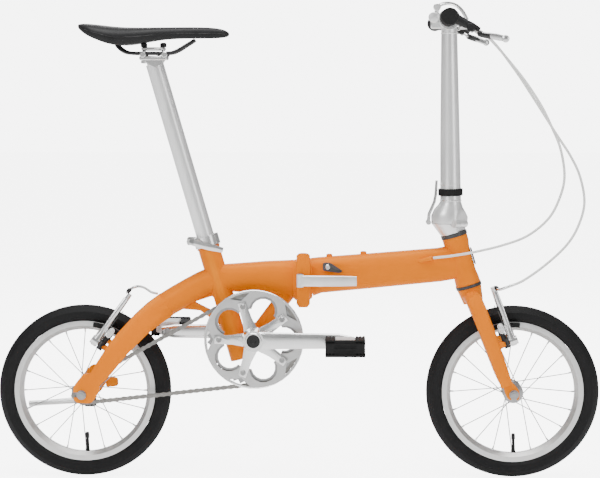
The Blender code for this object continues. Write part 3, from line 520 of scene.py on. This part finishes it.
# Share of the length, share of the width, then drop of the crown and of the lower edge.
stations = [(0.000, 0.40, 1.8, 6.6), (0.020, 0.64, 0.7, 12), (0.060, 0.86, 0.2, 21),
            (0.110, 0.97, 1.6, 28), (0.165, 1.00, 3.2, 34), (0.225, 0.99, 5.2, 40),
            (0.290, 0.90, 6.8, 41.4), (0.370, 0.74, 7.4, 39.5), (0.450, 0.60, 7.4, 35.5),
            (0.540, 0.46, 7.0, 31), (0.640, 0.38, 6.8, 28.6), (0.750, 0.32, 6.6, 28.2),
            (0.860, 0.27, 7.0, 28.2), (0.930, 0.22, 9.0, 27.6), (0.970, 0.17, 12, 26.4),
            (0.990, 0.11, 15, 24.4), (1.000, 0.05, 18, 22)]


def saddle_station(share, wide, crown, edge):
    """Place, half width, crown height and depth of one slice of the saddle."""
    x = low.x + INSET + share * (high.x - low.x - 2 * INSET)
    return x, half * wide, high.z - INSET - crown, edge - crown


bm = bmesh.new()
rings = []
for station in stations:
    x, y, crown, deep = saddle_station(*station)
    dip = 0.05 if 0.05 < station[0] < 0.9 else 0.0
    ring = [(0, dip), (0.10, dip * 0.2), (0.30, 0.0), (0.55, 0.03), (0.76, 0.09), (0.91, 0.22),
            (0.985, 0.42), (1.0, 0.62), (0.985, 0.82), (0.95, 0.96), (0.90, 1.0), (0.80, 0.95),
            (0.5, 0.84), (0, 0.80)]
    full = ring + [(-a, d) for a, d in ring[-2:0:-1]]
    rings.append([Vector((x, a * y, crown - d * deep)) for a, d in full])
skin(bm, rings)
saddle = put("saddle_cushion", bm, COVER, "seat", 70)
subdivide = saddle.modifiers.new("soften", "SUBSURF")
subdivide.levels = subdivide.render_levels = 2
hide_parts("saddle")
seam = bmesh.new()
for sign in (-1, 1):
    path = []
    for station in stations[2:-2]:
        x, y, crown, deep = saddle_station(*station)
        path.append((x, sign * y, crown - deep * 0.56))
    tube(seam, spline(path, 4), 0.5, 6)
put("saddle_seam", seam, BLACK_METAL, "seat", 60)
shell = bmesh.new()
slices = []
for station in stations[3:-3]:
    x, y, crown, deep = saddle_station(*station)
    level = crown - deep + 2.0
    slices.append([Vector((x, a * y * 0.9, level + d)) for a, d in
                   ((-1, 0), (-0.5, -1.0), (0, -1.4), (0.5, -1.0), (1, 0), (0.5, 3.0),
                    (-0.5, 3.0))])
skin(shell, slices)
put("saddle_base", shell, BLACK_PLASTIC, "seat", 50)

bm = bmesh.new()
for sign in (-1, 1):
    path = [(-339, sign * 15, 814.5), (-334, sign * 18, 808), (-324, sign * 21, 800.4),
            (-310, sign * 22, 797), (-275, sign * 22, 796.8), (-240, sign * 22, 797),
            (-225, sign * 20, 801.4), (-209, sign * 15.6, 811), (-193, sign * 11, 821)]
    tube(bm, spline(path, 5), 3.4, 14)
rails = put("rail_pair", bm, BLACK_METAL, "seat", 50)
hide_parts("saddle_rails")

# ---------------------------------------------------------------- seat clamp
bm = bmesh.new()
caps = bmesh.new()
for x in (-288, -252):
    turn(caps, [(5.2, 0), (6.2, 1), (6.2, 6), (4.6, 8.4), (0.05, 8.8)], (x, 0, 808), (0, 0, 1), 24,
         closed=False)
for sign in (-1, 1):
    for x in (-288, -248):
        turn(bm, [(5.6, 0), (5.6, 3.4), (4.4, 4.4), (0.05, 4.4)], (x, sign * 25.48, 794.5),
             (0, sign, 0), 24, closed=False)
turn(bm, [(6.4, 0), (6.4, 5), (3.6, 5.4), (3.6, 0)], (-288, 0, 778.4), (0, 0, 1), 6)
for sign in (-1, 1):
    slab(bm, [(-292, 789), (-246, 789), (-256, 776), (-266, 771), (-276, 776)],
         (sign * 17.2, sign * 21.5))
put("clamp_hardware", bm, POLISHED, "seat", 30)
put("clamp_bolt_heads", caps, BLACK_METAL, "seat", 30)

# ---------------------------------------------------------------- grips
GRIP_RIBS = 24
for side, sign in SIDES:
    inner = Vector((271.2, sign * 165, 858.8))
    outer = Vector((266.4, sign * 284, 858.0))
    way = (outer - inner).normalized()
    length = (outer - inner).length
    profile = [(11.8, 0.3), (14.6, 0.3), (15.0, 1.4), (15.0, 5.0), (14.2, 6.0)]
    for k in range(GRIP_RIBS):
        at = 8 + (length - 18) * k / GRIP_RIBS
        profile += [(13.9, at), (14.6, at + 1.0), (14.6, at + 3.0), (13.9, at + 3.9)]
    profile += [(14.2, length - 6), (15.0, length - 5), (15.0, length - 1.5), (14.0, length - 0.1),
                (0.05, length - 0.1)]
    bm = bmesh.new()
    turn(bm, [(0.05, 0.3)] + profile, inner, way, 40, closed=False)
    grip = put("grip_skin_" + side, bm, RUBBER, "handlebar", 40)
    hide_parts("grip_" + side)

# ---------------------------------------------------------------- brake levers
for side, sign in SIDES:
    hinge = pivot("brake_lever_turn_" + side)
    bm = bmesh.new()
    path = [hinge + Vector((x, sign * y, z)) for x, y, z in
            ((12, 5.5, -9.2), (17, 11, -11), (25, 26, -13.2), (32, 40, -14.6))]
    tube(bm, spline(path, 5), 5.4, 14, power=2.8, side=(1, 0, 0.4), wide=0.86)
    put("lever_cover_" + side, bm, BLACK_PLASTIC, "brake_lever_" + side, 40)
    bm = bmesh.new()
    tip = hinge + Vector((53, sign * 86.5, -19.8))
    turn(bm, [(6.2, -2.6), (6.8, 0), (6.0, 2.8), (4.2, 3.8), (0.05, 4.1)], tip, (0, sign, 0), 28,
         closed=False)
    put("lever_tip_" + side, bm, POLISHED, "brake_lever_" + side, 40)
    bm = bmesh.new()
    tube(bm, spline([(296, sign * 148, 852), (312, sign * 146, 846), (326, sign * 141, 838)], 5),
         [6.2 - 0.16 * k for k in range(11)], 14, power=2.8)
    turn(bm, [(16.2, -1.2), (16.9, 0), (16.2, 1.2)], (272.0, sign * 150, 858.9),
         (-0.04, sign * 0.999, 0), 40)
    put("lever_body_" + side, bm, BLACK_PLASTIC, "handlebar", 40)
    bm = bmesh.new()
    turn(bm, [(4.6, 0), (4.6, 9), (3.4, 10.5), (3.0, 10.5), (3.0, 0)], (303, sign * 117, 846),
         (0.1, -sign, -0.05), 24)
    put("cable_adjuster_" + side, bm, POLISHED, "handlebar", 30)

# ---------------------------------------------------------------- pedals
PEDAL_INSIDE, PEDAL_OUTSIDE = 98, 174.6
PEDAL_CLEATS = 9
EAR_OUTLINE = ((-5, -4), (-3, -6), (3, -6), (5, -4), (5, 4), (3, 6), (-3, 6), (-5, 4))
PLATE_OUTLINE = ((-30, -8), (-27, -11), (27, -11), (30, -8), (30, 8), (27, 11), (-27, 11), (-30, 8))


def pedal_tread(bm, x, z, sign):
    """Two ribbed rubber bars and the stepped end block that joins them."""
    inside, outside = sign * PEDAL_INSIDE, sign * PEDAL_OUTSIDE
    for way in (-1, 1):
        for level in (z - 11, z + 11):
            for k in range(3):
                rib = x + way * (21.5 + 6 * k)
                tube(bm, [(rib, inside, level), (rib, outside, level)], 2.5, 12, power=4)
        face = x + way * 34.5
        block(bm, sorted((x + way * 19.5, face)), (inside, outside), (z - 12.2, z + 12.2))
        for k in range(PEDAL_CLEATS):
            y = inside + (outside - inside) * (k + 0.5) / PEDAL_CLEATS
            block(bm, sorted((face - way * 0.6, face + way * 1.2)), (y - 2.2, y + 2.2),
                  (z - 14, z + 14))
    for k in range(6):
        step_low = z - 15.2 + 5.2 * k
        grow, end = (34.6, 173.6) if k % 2 else (36, 174.8)
        block(bm, (x - grow, x + grow), (sign * 167, sign * end), (step_low, step_low + 4.3))
    block(bm, (x - 33.5, x + 33.5), (sign * 166.5, sign * 172.4), (z - 13.5, z + 13.5))


def pedal_cage(bm, x, z, sign):
    """End plates, top plate, fold ears and spindle sleeve."""
    for y in (101, 165):
        slab(bm, [(x + a, z + b) for a, b in PLATE_OUTLINE], sorted((sign * y, sign * (y + 7))))
    block(bm, (x - 17, x + 17), (sign * 106, sign * 166), (z + 11.5, z + 13.2))
    for e in (-1, 1):
        slab(bm, [(x + e * 20 + a, z + b) for a, b in EAR_OUTLINE], sorted((sign * 93, sign * 102)))
    tube(bm, [(x, sign * 110, z), (x, sign * 172, z)], 6, 20)


for side, sign in SIDES:
    centre = pivot("pedal_spin_" + side)
    bm = bmesh.new()
    pedal_tread(bm, centre.x, centre.z, sign)
    tread = put("pedal_tread_" + side, bm, RUBBER, "pedal_" + side, 35)
    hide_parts("pedal_" + side)
    bm = bmesh.new()
    pedal_cage(bm, centre.x, centre.z, sign)
    put("pedal_cage_" + side, bm, BRUSHED, "pedal_" + side, 30)

# ---------------------------------------------------------------- crank details
bm = bmesh.new()
for k in range(RING_BOLTS):
    at = around(CRANK, RING_BOLT_RADIUS, math.radians(36 + 72 * k), RING_BOLT_FACE_Y)
    screw_head(bm, at, (0, -1, 0), 5.0, 2.4)
put("ring_bolts", bm, STEEL, "crank", 25)
bm = bmesh.new()
turn(bm, [(12.6, 0), (15.6, 0), (15.6, 1.6), (14.6, 2.6), (12.6, 2.6)],
     (CRANK.x, RIGHT_CRANK_FACE_Y, CRANK.z), (0, -1, 0), 40)
put("crank_cap_ring", bm, POLISHED, "crank", 25)
bm = bmesh.new()
turn(bm, [(12.5, 0), (12.5, 1.6), (11.4, 2.2), (5, 2.2), (4, 1.2), (0.05, 1.2)],
     (CRANK.x, RIGHT_CRANK_FACE_Y, CRANK.z), (0, -1, 0), 40, closed=False)
turn(bm, [(12.5, 0), (12.5, 1.6), (11.4, 2.2), (0.05, 2.2)],
     (CRANK.x, LEFT_CRANK_FACE_Y, CRANK.z), (0, 1, 0), 40, closed=False)
put("crank_caps", bm, BLACK_PLASTIC, "crank", 25)
bm = bmesh.new()
turn(bm, [(GUARD_BEAD_RADIUS - 0.9, 0), (GUARD_BEAD_RADIUS, 0.7), (GUARD_BEAD_RADIUS + 0.9, 0)],
     (CRANK.x, GUARD_FACE_Y, CRANK.z), (0, -1, 0), 96)
put("guard_beads", bm, POLISHED, "crank", 30)

# ---------------------------------------------------------------- brakes
PAD_BOLT_HEIGHT = 29.7
ANCHOR_HEIGHT = 90
SPRING_RADIUS, SPRING_TURNS, SPRING_STEPS = 9.2, 4, 10


def brake_bolts(bm, pin, out, upward, outward):
    """Heads of the pivot bolt, the pad bolt and the wire anchor."""
    screw_head(bm, pin + out * 9.2, out, 5.4, 3.0)
    screw_head(bm, pin + upward * PAD_BOLT_HEIGHT + outward * 5.4, outward, 4.2, 4.5)
    screw_head(bm, pin + upward * ANCHOR_HEIGHT + out * 4.6 - outward * 3.4, out, 3.6, 3)


def pad_link(bm, pin, out, upward, outward):
    """Slotted link beside the arm, with its two bolts."""
    middle = pin + upward * PAD_BOLT_HEIGHT - out * 7.5
    oval = []
    for k in range(20):
        t = 2 * math.pi * k / 20
        stretch = 5.0 if math.sin(t) > 0 else -5.0
        oval.append(middle + out * math.cos(t) * 5.2 + upward * (math.sin(t) * 5.2 + stretch))
    skin(bm, [[point + outward * level for point in oval] for level in (1.0, 6.4)])
    screw_head(bm, middle + upward * 4 + outward * 6.3, outward, 3.8, 2.4)
    screw_head(bm, middle - upward * 5 + outward * 6.3, outward, 2.8, 1.6)


def spring_case(bm, pin, out, upward):
    """Moulded cover behind the arm, round the spring."""
    tube(bm, [pin - out * 8 - upward * 9, pin - out * 8.5 + upward * 4,
              pin - out * 8 + upward * 20, pin - out * 6.4 + upward * 27],
         [4.2, 5.0, 4.6, 3.2], 12, power=2.8)
    turn(bm, [(9.4, 0), (9.4, 3.2), (7.2, 4.0), (7.2, 0)], pin - out * 8.6, out, 28)


def return_spring(bm, pin, out, upward, sign):
    """Coil round the pivot with one leg that runs up the arm."""
    path = []
    for k in range(SPRING_TURNS * SPRING_STEPS):
        t = 2 * math.pi * k / SPRING_STEPS
        centre = pin - out * (6.4 - 0.12 * k) + Vector((0, sign * 0.2, 0))
        path.append(centre + (upward * math.cos(t) + Vector((0, math.sin(t), 0))) * SPRING_RADIUS)
    path += [pin + upward * 30 - out * 1 + Vector((0, sign * 9.4, 0)),
             pin + upward * 62 - out * 2 + Vector((0, sign * 7.8, 0))]
    tube(bm, path, 0.8, 6)


for end in ("front", "rear"):
    for side, sign in SIDES:
        joint = f"{end}_brake_turn_{side}"
        body = f"{end}_brake_{side}"
        pin = pivot(joint)
        out = Vector(JOINTS[joint]["axis"])
        if (out.x > 0) != (end == "front"):
            out = -out
        upward = Vector((-out.z, 0, out.x))
        if upward.z < 0:
            upward = -upward
        outward = Vector((0, sign, 0))
        bm = bmesh.new()
        brake_bolts(bm, pin, out, upward, outward)
        put(f"{end}_brake_bolts_{side}", bm, POLISHED, body, 25)
        bm = bmesh.new()
        pad_link(bm, pin, out, upward, outward)
        put(f"{end}_pad_link_{side}", bm, POLISHED, body, 30)
        bm = bmesh.new()
        spring_case(bm, pin, out, upward)
        put(f"{end}_spring_case_{side}", bm, BLACK_PLASTIC, body, 40)
        bm = bmesh.new()
        return_spring(bm, pin, out, upward, sign)
        put(f"{end}_brake_spring_{side}", bm, BLACK_METAL, body, 60)

# ---------------------------------------------------------------- frame details
def weld_bead(bm, centre, axis, radius, thick):
    """Thin ring of weld where two tubes meet."""
    centre, axis = Vector(centre), Vector(axis).normalized()
    side = Vector((0, 1, 0))
    up = axis.cross(side).normalized()
    count = 64
    path = []
    for k in range(count):
        t = 2 * math.pi * k / count
        path.append(centre + (side * math.cos(t) + up * math.sin(t)) * radius)
    rings = []
    for k, point in enumerate(path):
        ahead = (path[(k + 1) % count] - path[k - 1]).normalized()
        out = ahead.cross(axis).normalized()
        size = thick * (1.12 if k % 2 else 0.92)
        rings.append([point + (out * math.cos(a) + axis * math.sin(a)) * size
                      for a in (math.pi * n / 4 for n in range(8))])
    skin(bm, rings, closed=True)


STEER_UP = Vector(JOINTS["steering"]["axis"])
HEAD = pivot("steering")
SEAT_DOWN = Vector(JOINTS["seat_slide"]["axis"])
SEAT = pivot("seat_slide")
bm = bmesh.new()
for reach, radius in ((1.5, 23.4), (92.0, 21.8)):
    weld_bead(bm, HEAD + STEER_UP * reach, STEER_UP, radius, 1.0)
put("head_tube_rings", bm, ORANGE, "front_frame", 60)
bm = bmesh.new()
weld_bead(bm, SEAT + SEAT_DOWN * 2, SEAT_DOWN, 20.8, 1.2)
for y in (33, -33):
    weld_bead(bm, (CRANK.x, y, CRANK.z), (0, 1, 0), 20.4, 0.8)
put("frame_rings", bm, ORANGE, "rear_frame", 60)
bm = bmesh.new()
for x, z in ((58, 421), (122, 426)):
    screw_head(bm, (x, 0, z - 0.1), (0, 0, 1), 4.6, 1.2)
put("boss_bolts", bm, ORANGE, "front_frame", 25)
bm = bmesh.new()
fold = pivot("frame_fold")
screw_head(bm, (fold.x, fold.y, 409.8), (0, 0, 1), 5.0, 2.2)
screw_head(bm, (55, -31.1, 400), (0, -1, 0), 4.6, 2.2)
put("hinge_bolts", bm, POLISHED, "front_frame", 25)
latch = pivot("frame_latch_turn")
bm = bmesh.new()
turn(bm, [(5.2, 0), (5.2, 1.2), (0.05, 1.6)], latch + Vector((0, 0, 12.1)), (0, 0, 1), 24,
     closed=False)
put("latch_pin", bm, STEEL, "frame_latch", 25)
bm = bmesh.new()
for x, z, radius, thick in ((285, 523, 19.6, 0.9), (283.4, 552, 19.0, 0.5), (280.8, 834, 15.4, 0.9)):
    weld_bead(bm, (x, 0, z), (0, 0, 1), radius, thick)
for sign in (-1, 1):
    turn(bm, [(14, 0), (19.8, 0), (19.2, sign), (14.4, sign)], (BAR.x, sign * 21.1, BAR.z), steps=48)
put("post_rings", bm, POLISHED, "handlepost", 40)
bm = bmesh.new()
turn(bm, [(4.6, 0), (6.4, 0.4), (6.4, 6), (4.6, 6.6)], (257, -6, 857.4), (0, 0, 1), 30)
put("clamp_nut", bm, STEEL, "handlepost", 30)
bm = bmesh.new()
turn(bm, [(10, 0), (10, 3.4), (8.6, 5.2), (3.4, 6.2), (0.05, 6.4)], (251, -12.1, 863),
     (0, -1, 0), 40, closed=False)
turn(bm, [(4, 0), (4, 24), (0.05, 24)], (251, 12, 863), (0, -1, 0), 24, closed=False)
put("clamp_cam", bm, BRUSHED, "handlepost", 30)
bm = bmesh.new()
turn(bm, [(7.2, 0), (7.2, 2.6), (5.8, 3.8), (0.05, 4.2)], (257, -12.2, 882), (0, -1, 0), 32,
     closed=False)
put("lever_cam", bm, BRUSHED, "bar_lever", 30)
bm = bmesh.new()
weld_bead(bm, SEAT - SEAT_DOWN * 19, SEAT_DOWN, 21.6, 0.8)
put("collar_lip", bm, POLISHED, "rear_frame", 40)
BAND = Vector((284.5, 0, 538.5))
BAND_RADIUS, BAND_RIBS = 22.5, 30
half_rib = Vector((0, 0, 5))
bm = bmesh.new()
for k in range(BAND_RIBS):
    t = 2 * math.pi * k / BAND_RIBS
    at = BAND + Vector((math.cos(t), math.sin(t), 0)) * BAND_RADIUS
    tube(bm, [at - half_rib, at + half_rib], 0.6, 6)
put("band_ribs", bm, RUBBER, "handlepost", 50)

# ---------------------------------------------------------------- stage
# How much light the room and the floor cast, and how bright each looks to the camera.
ROOM_LIGHT, ROOM_SEEN = 0.34, 6.5
FLOOR_LIGHT, FLOOR_SEEN = 0.4, 5.9
FLOOR_SIZE, FLOOR_DROP = 30, 0.0006
CAMERA_AT = Vector((0.0792, -3.766, 0.766))
CAMERA_PITCH, CAMERA_YAW = math.radians(4.80), math.radians(1.16)
CAMERA_LENS, CAMERA_SENSOR = 120.8, 36


def seen_and_cast(tree, socket, cast, seen):
    """Let a surface of the studio look brighter to the camera than the light it casts."""
    path = tree.nodes.new("ShaderNodeLightPath")
    level = tree.nodes.new("ShaderNodeMapRange")
    level.inputs["To Min"].default_value = cast
    level.inputs["To Max"].default_value = seen
    tree.links.new(path.outputs["Is Camera Ray"], level.inputs["Value"])
    tree.links.new(level.outputs["Result"], socket)


paper = FLOOR.node_tree.nodes["Principled BSDF"]
paper.inputs["Emission Color"].default_value = (1, 1, 1, 1)
seen_and_cast(FLOOR.node_tree, paper.inputs["Emission Strength"], FLOOR_LIGHT, FLOOR_SEEN)
bpy.ops.mesh.primitive_plane_add(size=FLOOR_SIZE, location=(0, 0, -FLOOR_DROP))
floor = bpy.context.object
floor.name = "floor"
floor.data.materials.append(FLOOR)
world = bpy.context.scene.world or bpy.data.worlds.new("studio")
bpy.context.scene.world = world
world.use_nodes = True
back = world.node_tree.nodes["Background"]
back.inputs["Color"].default_value = (1.0, 1.0, 1.0, 1)
seen_and_cast(world.node_tree, back.inputs["Strength"], ROOM_LIGHT, ROOM_SEEN)


def area_light(name, at, target, size, power):
    """Soft rectangular light aimed at a point."""
    data = bpy.data.lights.new(name, "AREA")
    data.shape = "RECTANGLE"
    data.size, data.size_y = size
    data.energy = power
    light = bpy.data.objects.new(name, data)
    bpy.context.scene.collection.objects.link(light)
    light.location = at
    light.rotation_euler = (Vector(target) - Vector(at)).to_track_quat("-Z", "Y").to_euler()


area_light("overhead", (0, -0.6, 3.4), (0, 0, 0.3), (3.0, 2.0), 150)
area_light("key", (-1.8, -3.0, 2.2), (0, 0, 0.4), (1.4, 1.4), 45)
area_light("fill", (2.6, -2.4, 1.2), (0, 0, 0.4), (0.9, 1.8), 18)
area_light("rim", (0.3, 2.8, 2.0), (0, 0, 0.4), (3.0, 1.0), 40)

camera_data = bpy.data.cameras.new("camera")
camera_data.sensor_width = CAMERA_SENSOR
camera_data.lens = CAMERA_LENS
camera = bpy.data.objects.new("camera", camera_data)
bpy.context.scene.collection.objects.link(camera)
camera.location = CAMERA_AT
aim = Vector((-math.sin(CAMERA_YAW) * math.cos(CAMERA_PITCH),
              math.cos(CAMERA_YAW) * math.cos(CAMERA_PITCH), -math.sin(CAMERA_PITCH)))
camera.rotation_euler = aim.to_track_quat("-Z", "Y").to_euler()
bpy.context.scene.camera = camera
